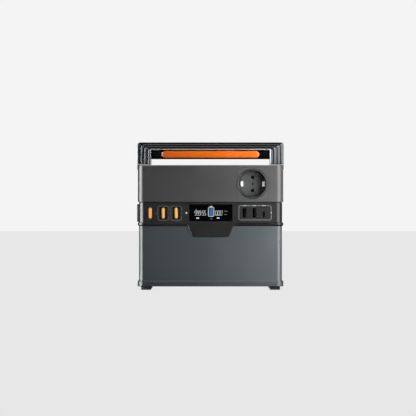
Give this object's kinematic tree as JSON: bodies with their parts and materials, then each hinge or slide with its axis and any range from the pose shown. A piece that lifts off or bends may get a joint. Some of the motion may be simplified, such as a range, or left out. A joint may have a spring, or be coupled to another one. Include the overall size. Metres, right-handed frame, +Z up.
{
  "type": "portable power station",
  "caption": "Box-shaped portable power station with a fixed ribbed carrying handle, control band with display, push buttons and USB sockets, earthed mains socket and side port cover.",
  "frame": {"origin": "on the table under the middle of the case", "axes": "+X to the right seen from the front, +Y from the front to the back, +Z up"},
  "size_m": [0.2109, 0.137, 0.2113],
  "materials": {
    "tray_plastic": "fine moulded grain",
    "foot_rubber": "matt rubber",
    "screw_steel": "zinc plated",
    "shell_metal": "blue-grey powder coat",
    "trim_plastic": "satin moulded plastic",
    "panel_plastic": "satin dark plastic",
    "display_glass": "polished black window",
    "inner_plastic": "plain moulded plastic",
    "board": "green circuit board",
    "light_pipe": "clear to white light pipe",
    "contact_metal": "nickel plated sheet",
    "shell_nickel": "blackened nickel socket shell",
    "tongue_plastic": "black contact carrier",
    "contact_brass": "bare brass",
    "socket_plastic": "satin dark plastic",
    "case_plastic": "textured dark grey plastic",
    "handle_metal": "anodised ribbed aluminium",
    "grip_black": "soft black rubber",
    "grip_orange": "soft orange rubber",
    "button_orange": "satin amber plastic",
    "cover_rubber": "matt dark rubber",
    "grille_plastic": "satin dark plastic",
    "lamp_diffuser": "frosted white lens",
    "cell_can": "sleeved cell cans",
    "busbar_metal": "nickel strip",
    "transformer_core": "ferrite and wound wire",
    "heat_sink_metal": "bare finned aluminium",
    "capacitor_sleeve": "dark shrink sleeve",
    "lead_sleeve": "silicone sleeve"
  },
  "bodies": {
    "case": {"base_tray": "tray_plastic", "foot_front_left": "foot_rubber", "foot_front_right": "foot_rubber", "foot_rear_left": "foot_rubber", "foot_rear_right": "foot_rubber", "foot_screws": "screw_steel", "lower_shell": "shell_metal", "trim_ring": "trim_plastic", "mid_frame": "panel_plastic", "front_panel": "panel_plastic", "display_window": "display_glass", "display_module": "inner_plastic", "switch_board": "board", "tact_switches": "inner_plastic", "status_light": "light_pipe", "usb_a_shells": "shell_nickel", "usb_a_tongues": "tongue_plastic", "usb_c_shell": "shell_nickel", "usb_c_tongue": "tongue_plastic", "usb_board": "board", "port_plate": "panel_plastic", "car_socket": "contact_metal", "car_socket_contact": "contact_brass", "dc_jacks": "socket_plastic", "dc_jack_pins": "contact_brass", "cover_hinge_pin": "screw_steel", "upper_housing": "case_plastic", "top_cover": "case_plastic", "handle_frame": "handle_metal", "handle_screws": "screw_steel", "grip_core": "grip_black", "grip_insert_front": "grip_orange", "grip_insert_rear": "grip_orange", "socket_bezel": "socket_plastic", "socket_cup": "socket_plastic", "earth_clips": "contact_metal", "pin_contacts": "contact_brass", "socket_cover": "inner_plastic", "fan_grille": "grille_plastic", "intake_grille": "grille_plastic", "fan_frame": "inner_plastic", "lamp_lens": "lamp_diffuser", "lamp_board": "board", "battery_cells": "cell_can", "cell_holder_lower": "inner_plastic", "cell_holder_upper": "inner_plastic", "busbars": "busbar_metal", "bms_board": "board", "deck_plate": "inner_plastic", "inverter_board": "board", "transformer": "transformer_core", "heat_sinks": "heat_sink_metal", "capacitors": "capacitor_sleeve", "battery_leads": "lead_sleeve"},
    "button_light": {"button_light": "button_orange"},
    "button_dc": {"button_dc": "button_orange"},
    "button_ac": {"button_ac": "button_orange"},
    "port_cover": {"port_cover": "cover_rubber"},
    "socket_shutter": {"socket_shutter": "tongue_plastic"},
    "fan_rotor": {"fan_rotor": "inner_plastic"}
  },
  "joints": [
    {"name": "button_light_press", "type": "slide", "parent": "case", "child": "button_light", "axis": [0, 1, 0], "range_m": [0, 0.0008], "stiffness_N_per_m": 600, "springref_m": -0.001},
    {"name": "button_dc_press", "type": "slide", "parent": "case", "child": "button_dc", "axis": [0, 1, 0], "range_m": [0, 0.0008], "stiffness_N_per_m": 600, "springref_m": -0.001},
    {"name": "button_ac_press", "type": "slide", "parent": "case", "child": "button_ac", "axis": [0, 1, 0], "range_m": [0, 0.0008], "stiffness_N_per_m": 600, "springref_m": -0.001},
    {"name": "port_cover_hinge", "type": "hinge", "parent": "case", "child": "port_cover", "pos_m": [-0.1039, 0.0395, 0.1096], "axis": [0, 0, -1], "range_deg": [0, 115]},
    {"name": "socket_shutter_slide", "type": "slide", "parent": "case", "child": "socket_shutter", "axis": [1, 0, 0], "range_m": [0, 0.006], "stiffness_N_per_m": 120, "springref_m": -0.002},
    {"name": "fan_spin", "type": "hinge", "parent": "case", "child": "fan_rotor", "pos_m": [0.0966, 0, 0.148], "axis": [1, 0, 0], "continuous": true}
  ]
}
